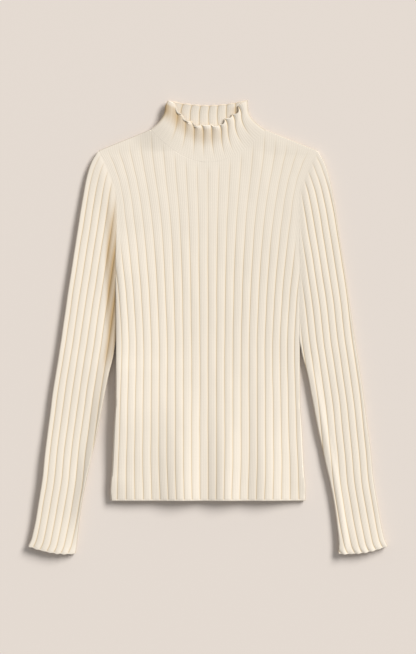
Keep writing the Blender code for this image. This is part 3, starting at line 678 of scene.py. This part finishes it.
def front_lift(x, y, limit, edge_height):
    """Extra height of the front: at the side folds, at the neck and shoulders, and at the hem."""
    share = np.minimum(np.abs(x) / limit, 1)
    roll = curve(LEFT_SIDE, "y", "roll", y) * (x < 0)
    side = (edge_height + roll - REST_HEIGHT) * share ** np.where(x < 0, *SIDE_POWER)
    lift = side + np.maximum(neck_rise(x, y) - np.maximum(side, 0), 0)
    to_limit = limit - np.abs(x)
    lift = lift - roll * np.clip(1 - to_limit / ROLL_WIDTH, 0, 1) ** 2
    hem_lift = HEM_LIFT
    for wave in HEM_WAVES:
        hem_lift = hem_lift + wave["lift"] * smoothstep(1 - np.abs(x - wave["x"]) / wave["width"])
    lift = lift + hem_lift * (1 - smoothstep((y - HEM_Y) / HEM_LIFT_LENGTH))
    corner = smoothstep(1 - to_limit / CORNER_REACH[0]) * smoothstep(1 - (y - HEM_Y) / CORNER_REACH[1])
    return lift - CORNER_DROP * corner


front = body_panel("front_panel", front_top, 1, 2.0, front_lift)
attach(front, "root")
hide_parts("front")


# -------------------------------- the sleeves
# Two long narrow sleeves, each a tube with one seam at the underarm, set into the armhole. Their ribs
# run parallel to the outer fold, and the cuff ends in a small fluted edge.
# Outer and inner end of each section, from cuff to shoulder. Without inner_x it ends at the body.
SLEEVE = named("outer_x outer_y inner_y inner_x", [
    (287.4, -350.3, -362.8, 211.5),
    (285.0, -346.3, -358.4, 210.9),
    (282.1, -339.9, -351.1, 210.1),
    (276.0, -312.7, -323.4, 207.2),
    (269.8, -277.5, -287.9, 202.4),
    (264.0, -240.7, -251.1, 195.7),
    (259.8, -197.5, -209.2, 185.8),
    (253.6, -149.5, -163.1, 175.8),
    (247.2, -101.5, -115.9, 166.6),
    (241.0, -61.5, -75.0, 158.4),
    (237.6, -39.9, -55.0, 153.0),
    (234.9, -23.5, -37.5, 149.2),
    (230.2, 10.5, -5.0),
    (225.6, 42.5, 26.5),
    (219.4, 82.5, 69.7),
    (214.6, 114.5, 103.3),
    (211.4, 134.5, 122.0),
    (208.0, 155.0, 144.0),
    (205.0, 174.5, 166.5),
    (202.0, 194.0, 189.5),
    (199.0, 212.1, 212.0),
    (196.2, 228.0, 225.3),
    (192.9, 242.5, 238.4),
    (188.8, 256.0, 251.4),
    (183.6, 267.5, 264.3),
    (178.9, 275.0, 277.0),
    (176.6, 279.2, 280.4),
])
UNDERARM_ROW = 15  # of SLEEVE
SLEEVE_ROWS = np.concatenate([  # places along SLEEVE, in its rows, at which the tube has a row of points
    EDGE_STEPS[:-1] / 12, np.arange(0.55, 3, 0.25), np.arange(3, 15, 0.125),
    np.arange(15, 26.01, 0.25)])[:, None]
# From the outer fold of the right sleeve to its first groove.
GROOVES = named("y first", [
    (-350.0, 8.6),
    (-190.0, 7.7),
    (-118.0, 5.5),
    (-20.0, 4.6),
    (75.0, 2.5),
    (170.0, 2.9),
    (210.0, 4.5),
    (250.0, 7.7),
])
LEFT_GROOVE = 7.7  # the same on the left
SLEEVE_PITCH = 11.3
SLEEVE_RIBS = 9
SLEEVE_RELIEF = 1.15  # depth of its ribs, as a share of those of the body
SLEEVE_FADE = 11.0  # from the armhole to where they have their full depth
SHOULDER_EASE = 0.5  # how far they are flattened over the shoulder
SHOULDER_EASE_Y = 195.0  # where that begins, and over what height it grows
SHOULDER_EASE_GROWTH = 70.0
MOST_FOLD = 0.45  # widest that a fold may be, as a share of the sleeve's width
JOIN = 1.2  # how far the sleeve is drawn into the edge of the body
SPLIT_Y = -40.0  # where body and sleeve part. Above it they are pushed together, over PRESS_GROWTH.
PRESS_GROWTH = 26.0
RIGHT_PRESS = 1.6  # how much further the right sleeve is pushed into the side of the body
SLEEVE_HEIGHT = 8.0  # inside of the upper layer in the middle, before it sags
SLOPE_SHARE = 0.85  # of the width, from the outer fold to where the upper layer has that height
RIGHT_SAG = 1.2
SAG_WIDTH = 18.0  # from the torso out, where the sleeve rises again
FULL_WIDTH = 80.0  # a sleeve narrower than this sags less
RIGHT_ROLL = 1.2  # height of a low roll along the free inner edge of the right sleeve
RIGHT_ROLL_HALF = 9.0  # half of its width
RIGHT_ROLL_GROWTH = 60.0  # from the split down to where the roll has its full height
SHADE_REACH = 21.0  # from the left seam to where the shade between body and sleeve ends
SHADE_GROWTH = 9.0
CUFF_LENGTH = 60.0  # from the edge of the cuff to where its bow and its open mouth have died out
CUFF_BOW = 4.6  # how far the middle of the cuff reaches past its corners
CUFF_LIFT = 3.0  # how far its mouth stands open
CORNER_LIFT = 0.2  # how much of that it does at its corners
CUFF_FLARE = 3.0  # how far the inner corner of the right cuff reaches towards the body
CUFF_FLARE_LENGTH = 20.0
CUFF_PLAIN = 0.6  # from the edge to where the ribs begin
FLUTE_LENGTH = 13.0  # how far the flutes of the edge run up the cuff
CUFF_RISE = 0.9  # how far a flute stands up, and how far it reaches past the edge
CUFF_DIP = 1.3
UNDER_FLUTE = 0.2  # how much of that the lower layer does


def sleeve(name, side, seed):
    """A tube from cuff to shoulder, on the right (side 1) or mirrored to the left (side -1)."""
    heights, hand = (RIGHT_SIDE, "right") if side > 0 else (LEFT_SIDE, "left")
    for number, row in enumerate(SLEEVE):
        row["number"] = number
        row.setdefault("inner_x", float(curve(BODY, "y", "half", row["inner_y"])) + SEAM)
    outer, inner = [np.hstack([curve(SLEEVE, "number", end + axis, SLEEVE_ROWS) for axis in ("_x", "_y")])
                    for end in ("outer", "inner")]
    outer_y, inner_y = outer[:, 1:], inner[:, 1:]
    height = curve(heights, "y", "sleeve", inner_y)
    opened = curve(SEAM_OPEN, "y", hand, inner_y)
    if side < 0:
        opened[SLEEVE_ROWS <= UNDERARM_ROW] = 0
    pressed = smoothstep((inner_y - SPLIT_Y) / PRESS_GROWTH)
    inner[:, :1] -= np.maximum(opened, pressed) * (SEAM + JOIN)
    from_cuff = np.concatenate([[0], np.cumsum(np.linalg.norm(np.diff(outer, axis=0), axis=1))])[:, None]
    if side > 0:
        inner[:, :1] -= pressed * (1 - opened) * RIGHT_PRESS
        inner[:, :1] -= CUFF_FLARE * (1 - smoothstep(from_cuff / CUFF_FLARE_LENGTH))
    across = inner - outer
    width = np.linalg.norm(across, axis=1, keepdims=True)
    across /= width
    down = np.stack([-across[:, 1], across[:, 0]], -1)  # off the edge of the cuff
    fold, under = [np.minimum(radius, MOST_FOLD * width) for radius in (FOLD_RADIUS, UNDER_RADIUS)]

    # Once round the tube: from the inner fold over the upper layer to the outer fold, and back below.
    numbers = (np.arange(-1, SLEEVE_RIBS)[:, None] + RIB_STEPS).ravel()
    first = curve(GROOVES, "y", "first", outer_y) if side > 0 else LEFT_GROOVE
    grooves = first + numbers * SLEEVE_PITCH
    turn = 1 - np.cos(np.radians(FOLD_STEPS))
    distance = np.concatenate([
        width - fold * turn, np.clip(grooves, fold, width - fold)[:, ::-1], (fold * turn)[:, ::-1],
        (under * turn)[:, 1:], np.clip(grooves, under, width - under), (width - under * turn)[:, ::-1]],
        axis=1)
    turns, ribs = len(FOLD_STEPS), numbers.size
    angle = np.concatenate([FOLD_STEPS, np.full(ribs, 90.0), FOLD_STEPS[::-1],
                            FOLD_STEPS[1:], np.full(ribs, 90.0), FOLD_STEPS[::-1]])
    layer = np.concatenate([np.ones(2 * turns + ribs), -np.ones(2 * turns + ribs - 1)])
    at_inner = np.concatenate([np.ones(turns), np.zeros(2 * ribs + 2 * turns - 1), np.ones(turns)]) > 0
    at_fold = angle < 90
    upper = layer > 0
    from_seam = width - distance

    # Heights: of the inside of the upper layer, then of the middle of the cloth.
    sag = curve(LEFT_SIDE, "y", "sag", inner_y) if side < 0 else RIGHT_SAG
    sag = sag * np.minimum(1, width / FULL_WIDTH)
    mouth = mix(CORNER_LIFT, 1, np.sin(math.pi * distance / width))
    mouth = CUFF_LIFT * (1 - smoothstep(from_cuff / CUFF_LENGTH)) * mouth
    outer_height = curve(LEFT_SIDE, "y", "outer", outer_y) if side < 0 else FOLD_HEIGHT
    middle_height = mix(outer_height, SLEEVE_HEIGHT - sag, np.minimum(distance / width / SLOPE_SHARE, 1))
    rise = np.clip(1 - (from_seam - fold) / SAG_WIDTH, 0, 1) ** 1.5
    top_inner = mix(middle_height, height, rise) + mouth
    if side > 0:
        roll = smoothstep(1 - np.abs(from_seam - RIGHT_ROLL_HALF) / RIGHT_ROLL_HALF)
        top_inner = top_inner + RIGHT_ROLL * roll * smoothstep((SPLIT_Y - inner_y) / RIGHT_ROLL_GROWTH)
    cosine, sine = np.cos(np.radians(angle)), np.sin(np.radians(angle))
    fold_height = np.where(at_inner, height, outer_height) + mouth
    centre = fold_height + WALL / 2 - CREASE
    radius = np.where(upper, CREASE, centre - WALL / 2)
    here_open = np.where(at_inner, opened, 0)
    fold_z = mix(centre + layer * radius * sine,
                 np.where(upper, fold_height + WALL / 2, WALL / 2 + UNDER_LIFT), here_open)
    flat_z = np.where(upper, top_inner + WALL / 2, WALL / 2 + RIB_DEPTH / 2)
    z = np.where(at_fold, fold_z, flat_z)

    # The plan keeps clear of the outline by half of the wall, as in the body.
    way = np.where(at_inner, 1.0, -1.0)
    tuck = np.where(at_fold, cosine * WALL / 2 * (1 - here_open) * way, 0)
    plan = outer[:, None, :] + across[:, None, :] * (distance - tuck)[..., None]
    sideways = way * cosine / (np.where(upper, FOLD_RADIUS, UNDER_RADIUS) - WALL / 2)
    out = np.stack([across[:, None, 0] * sideways, across[:, None, 1] * sideways,
                    np.broadcast_to(layer * sine, z.shape) / radius], -1)
    out /= np.linalg.norm(out, axis=-1, keepdims=True)
    up = np.zeros_like(out)
    up[..., 2] = layer
    normal = np.where(at_fold[None, :, None], mix(out, up, here_open[..., None]), up)

    # Ribs run on round the folds, fade at the armhole and the edge, and are flatter on the shoulder.
    arc = np.radians(90 - angle) * FOLD_RADIUS
    along_arc = np.where(at_inner, width - fold + arc, fold - arc)
    number = (np.where(at_fold, along_arc, distance) - first) / SLEEVE_PITCH
    depth = 1 - opened * (1 - smoothstep(from_seam / SLEEVE_FADE))
    depth = depth * smoothstep((from_cuff - CUFF_PLAIN) / EDGE_FADE)
    depth = depth * (1 - SHOULDER_EASE * smoothstep((outer_y - SHOULDER_EASE_Y) / SHOULDER_EASE_GROWTH))

    # The edge of the cuff: it bows, and each rib ends in a flute of its own size.
    uneven = 0.3 + 0.7 * np.abs(np.sin(2.4 * np.floor(number) + seed))
    flute = (0.5 - 0.5 * np.cos(2 * math.pi * number)) * uneven * (1 - smoothstep(from_cuff / FLUTE_LENGTH))
    flute = flute * np.where(upper, 1, UNDER_FLUTE) * sine
    bow = CUFF_BOW * 4 * (distance / width) * (from_seam / width) * (1 - smoothstep(from_cuff / CUFF_LENGTH))
    plan = plan + down[:, None, :] * (CUFF_DIP * flute + bow)[..., None]
    z = z + CUFF_RISE * flute * upper
    thickness = WALL * edge_thickness(from_cuff) * np.ones(z.shape)
    thickness = thickness * mix(1, seam_thickness(from_seam), opened)
    thickness = thickness * seam_thickness(from_cuff[-1] - from_cuff)
    middle = np.concatenate([plan, z[..., None]], -1) * np.array([side, 1, 1])
    normal = normal * np.array([side, 1, 1])
    free = smoothstep(from_cuff / FREE_EDGE) * smoothstep(from_seam / FREE_SEAM)
    # Painted warm shade on the left sleeve beside the body, where the body shades it.
    shade = curve(LEFT_SIDE, "y", "shade", inner_y) if side < 0 else 0.0
    shade = shade * smoothstep((SHADE_REACH - from_seam) / SHADE_GROWTH)
    skins = [(number, SLEEVE_RELIEF * depth), (number, np.zeros(z.shape))]
    closed = (opened == 0).ravel()
    return cloth(name, middle, normal, thickness, closed, seed, skins, from_cuff + 0 * z, free, shade)


# The wearer's left sleeve is the one on the right.
for sleeve_name, solid, side, seed in (("left_sleeve", "sleeve_left", 1, 3.0),
                                       ("right_sleeve", "sleeve_right", -1, 4.0)):
    tube = sleeve(sleeve_name, side, seed)
    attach(tube, "root")
    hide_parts(solid)


# -------------------------------- the collar
# A short tube of the same rib, linked to the neck. Its ribs spread towards the base, and the lip is
# stretched by the thread round it into flutes, which stand up and lean out over the front.
COLLAR_HEIGHT = 58.0
# Grooves of the front, left to right, at the base, in the wall and at the lip, which bows after each.
LIP = named("base_x wall_x lip bow", [
    (-92.0, -68.0, (-63.0, 360.8), ((-59.5, 359.6), (-55.5, 358.2))),
    (-64.0, -49.0, (-52.9, 355.4), ((-53.2, 342.0), (-51.5, 339.8))),
    (-45.0, -36.0, (-42.8, 340.3), ((-43.0, 328.0), (-40.0, 326.4))),
    (-24.0, -22.0, (-26.2, 328.8), ((-26.2, 318.6), (-18.0, 318.2))),
    (-7.0, -7.4, (-10.3, 323.8), ((-8.0, 320.4), (1.5, 320.4))),
    (12.0, 6.1, (4.3, 324.3), ((6.5, 318.8), (15.5, 318.8))),
    (28.8, 21.4, (17.8, 323.3), ((22.0, 322.2), (26.8, 322.0))),
    (43.2, 31.5, (26.4, 333.1), ((31.0, 332.4), (38.4, 332.2))),
    (60.8, 43.0, (38.0, 339.8), ((43.0, 339.6), (52.0, 338.3))),
    (76.0, 53.0, (47.5, 352.2), ((50.0, 355.5), (58.0, 359.0))),
    (92.0, 63.0, (62.4, 362.0)),
])
BACK_GROOVES = [-63.0, -39.2, -25.3, -11.4, 2.7, 16.0, 29.9, 43.8, 62.4]  # at the lip, left to right
NECK_JOIN = 1.8  # how far the collar reaches down past the neck line
WALL_RISE = 0.75  # share of the collar's height at which the lip starts to lean out
FLUTE_RISE = 0.45  # share of it at which the flutes start to swell
FLUTE_LIFT = 1.1  # how much higher the middle of a flute stands than its grooves
LIP_LIFT = 1.5  # how much higher the front lip stands than the wall below it
LIP_LEAN = ([0, 0.4, 0.7, 1], [0.5, 1, 0.8, 0])  # how much of that it does, from left to right
LIP_RELIEF = 1.0  # how much deeper the grooves are at the lip, as a share of the rib depth
LIP_RELIEF_START = 0.4  # share of the collar's height at which they start to deepen
WALL_RELIEF = 0.9  # how deep they are in the wall
WALL_RELIEF_START = 0.05  # share of the height at which that begins, and over which it grows
WALL_RELIEF_GROWTH = 0.5
BACK_RELIEF = 0.4  # how much of LIP_RELIEF the back wall has, and how deep the inside of the front is
INSIDE_RELIEF = 0.5
LIP_PLAIN = 1.5  # from the lip down to where the ribs have their full depth
BACK_LIP_Y = 352.8
BACK_LIFT = 3.2  # how far the back wall rises to its lip
BACK_GAP = 0.2  # how far its foot is off the ground
SCALLOP = 1.6  # how far the back lip bows up between two grooves, and how far it stands up there
SCALLOP_LIFT = 0.6
FRONT_FOLD = 1.8  # how far the folds at the sides reach into the front wall and into the back wall
BACK_FOLD = 5.0
# The warm shades in its hollows: how deep each is, where it begins and over how much it grows.
FRONT_SHADES = [(0.5, 0.1, 0.5), (0.42, 0.8, 0.16)]  # in shares of the width, from right to left
BACK_SHADE = (0.52, 0.7, 0.2)  # the same from left to right
SHADE_FOOT = (1.0, 0.32, 0.4)  # in shares of the height: where those begin, and where they end
SHADE_TOP = (1.0, 0.84, 0.1)
LIP_SHADE = (0.45, 0.955, 0.03)  # the same for the shade along the lip of the back wall
COLLAR_ROWS = np.concatenate([[0.0, 0.005, 0.015, 0.03], np.linspace(0.06, 0.7, 16),
                              np.linspace(0.72, 0.89, 10), 1 - EDGE_STEPS[::-1] / COLLAR_HEIGHT])


def gradual(place, most, start, growth):
    """A depth that begins at a start and has grown to its most at the end of its growth."""
    return most * smoothstep((place - start) / growth)


def past(rise, start):
    """How far a rise is past a start, from 0 there to 1 at the lip."""
    return np.maximum(0.0, (rise - start) / (1 - start))


def collar_front(rise):
    """Middle line of the front wall at a rise: x, y, z and rib number, from the left to the right."""
    lean = past(rise, WALL_RISE) ** 2
    spread = 1 - (1 - min(1.0, rise / WALL_RISE)) ** 2

    def wall_point(base_x, wall_x, lip_x, lip_y, chord_y):
        x = mix(base_x, wall_x, spread) + (lip_x - wall_x) * lean
        y = mix(float(front_top(base_x)) - NECK_JOIN, chord_y, rise) + (lip_y - chord_y) * lean
        return x, y

    rows = []
    for number, (low, high) in enumerate(zip(LIP, LIP[1:])):
        bow = np.array([low["lip"], *low["bow"], high["lip"]])
        for step in RIB_STEPS:
            base_x, wall_x = [mix(low[place], high[place], step) for place in ("base_x", "wall_x")]
            rest = 1 - step
            lip_x, lip_y = np.array([rest**3, 3 * step * rest**2, 3 * step**2 * rest, step**3]) @ bow
            chord_y = mix(low["lip"][1], high["lip"][1], step)
            swell = math.sin(math.pi * step) ** 2 * past(rise, FLUTE_RISE) ** 1.6
            x, y = wall_point(base_x, wall_x, lip_x, lip_y, chord_y)
            rows.append((x, y, FLUTE_LIFT * swell, number + step))
    end_x, end_y = high["lip"]
    x, y = wall_point(high["base_x"], high["wall_x"], end_x, end_y, end_y)
    rows.append((x, y, 0.0, len(LIP) - 1.0))
    return np.array(rows)


def collar():
    """The tube: each of its rows runs along the front to the left, and comes back along the back."""
    fronts = np.stack([collar_front(rise) for rise in COLLAR_ROWS])
    rise = COLLAR_ROWS[:, None]
    left, right = fronts[:, :1, :2], fronts[:, -1:, :2]
    lip_share = (fronts[-1, :, 0] - fronts[-1, 0, 0]) / (fronts[-1, -1, 0] - fronts[-1, 0, 0])

    def past_folds(x, radius):
        """How far the cloth has turned out of the folds at both sides: 0 on the outline, 1 past the fold."""
        inward = [(x - left[..., 0]) / radius, (right[..., 0] - x) / radius]
        return [np.sqrt(1 - (1 - np.clip(share, 0, 1)) ** 2) for share in inward]

    fx, fy, flute_z, front_number = np.moveaxis(fronts, -1, 0)
    lip_lift = LIP_LIFT * np.interp(lip_share, *LIP_LEAN) * smoothstep(past(rise, FLUTE_RISE))
    wall_z = REST_HEIGHT + neck_rise(fx, fy) + WALL / 2 + lip_lift
    from_left, from_right = past_folds(fx, FRONT_FOLD)
    fz = wall_z - CREASE * (2 - from_left - from_right) + flute_z * from_left * from_right
    left_z, right_z = fz[:, :1], fz[:, -1:]

    at = (np.arange(len(BACK_GROOVES) - 1)[:, None] + RIB_STEPS).ravel()
    at = np.append(at, len(BACK_GROOVES) - 1)
    lip_x = np.interp(at, np.arange(len(BACK_GROOVES)), BACK_GROOVES)
    share = (lip_x - BACK_GROOVES[0]) / (BACK_GROOVES[-1] - BACK_GROOVES[0])
    bx = mix(left[..., 0], right[..., 0], share)
    base_y = back_top(mix(-NECK_HALF, NECK_HALF, share)) - NECK_JOIN
    off_middle = np.abs(2 * share - 1)
    lip_y = mix(BACK_LIP_Y, mix(left[-1, 0, 1], right[-1, 0, 1], share), off_middle**2)
    scallop = np.sin(math.pi * (at % 1.0)) * past(rise, WALL_RISE) ** 2
    by = mix(base_y, lip_y, rise) + SCALLOP * scallop * (1 - off_middle**6)
    back_z = WALL / 2 + BACK_GAP + BACK_LIFT * rise**2
    from_left, from_right = past_folds(bx, BACK_FOLD)
    bz = back_z + (left_z - back_z) * (1 - from_left) + (right_z - back_z) * (1 - from_right)
    bz = bz + SCALLOP_LIFT * scallop

    front_wall, back_wall = np.stack([fx, fy, fz], -1)[:, ::-1], np.stack([bx, by, bz], -1)[:, 1:]
    middle = np.concatenate([front_wall, back_wall], 1)
    number = np.concatenate([front_number[:, ::-1], at[1:] + 0 * bx[:, 1:]], 1)
    along = np.gradient(middle, axis=0)
    ring = np.concatenate([middle[:, -2:-1], middle, middle[:, 1:2]], 1)
    normal = np.cross(along, ring[:, 2:] - ring[:, :-2])
    normal /= np.linalg.norm(normal, axis=-1, keepdims=True)

    is_front = np.arange(middle.shape[1]) < fx.shape[1]
    off_folds = np.concatenate([0 * fx[:, ::-1], (from_left * from_right)[:, 1:]], 1)
    to_lip = (1 - rise) * COLLAR_HEIGHT
    depth = gradual(rise, WALL_RELIEF, WALL_RELIEF_START, WALL_RELIEF_GROWTH)
    depth = depth + LIP_RELIEF * np.where(is_front, 1, BACK_RELIEF) * past(rise, LIP_RELIEF_START) ** 1.5
    depth = depth * smoothstep(to_lip / LIP_PLAIN)
    skins = [(number, np.where(is_front, depth, 0.0)),
             (number, np.where(is_front, INSIDE_RELIEF * depth, depth * off_folds))]
    course = rise * COLLAR_HEIGHT + 0 * number
    thickness = WALL * seam_thickness(to_lip / 2) * seam_thickness(course)

    # Painted warm shade in hollows: below the flutes at the left of the front, at the right of the back, and
    # inside its lip.
    front_shade = sum(gradual(1 - lip_share[::-1], *step) for step in FRONT_SHADES)
    painted_shade = np.concatenate([front_shade, gradual(share[1:], *BACK_SHADE)]) * gradual(rise, *SHADE_FOOT)
    painted_shade = painted_shade * (1 - gradual(rise, *SHADE_TOP))
    painted_shade = np.maximum(painted_shade, np.where(is_front, 0, gradual(rise, *LIP_SHADE)))
    closed = np.ones(len(COLLAR_ROWS), dtype=bool)
    return cloth("collar_band", middle, normal, thickness, closed, 5.0, skins, course, 0 * number, painted_shade)


band = collar()
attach(band, "root")
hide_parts("collar")
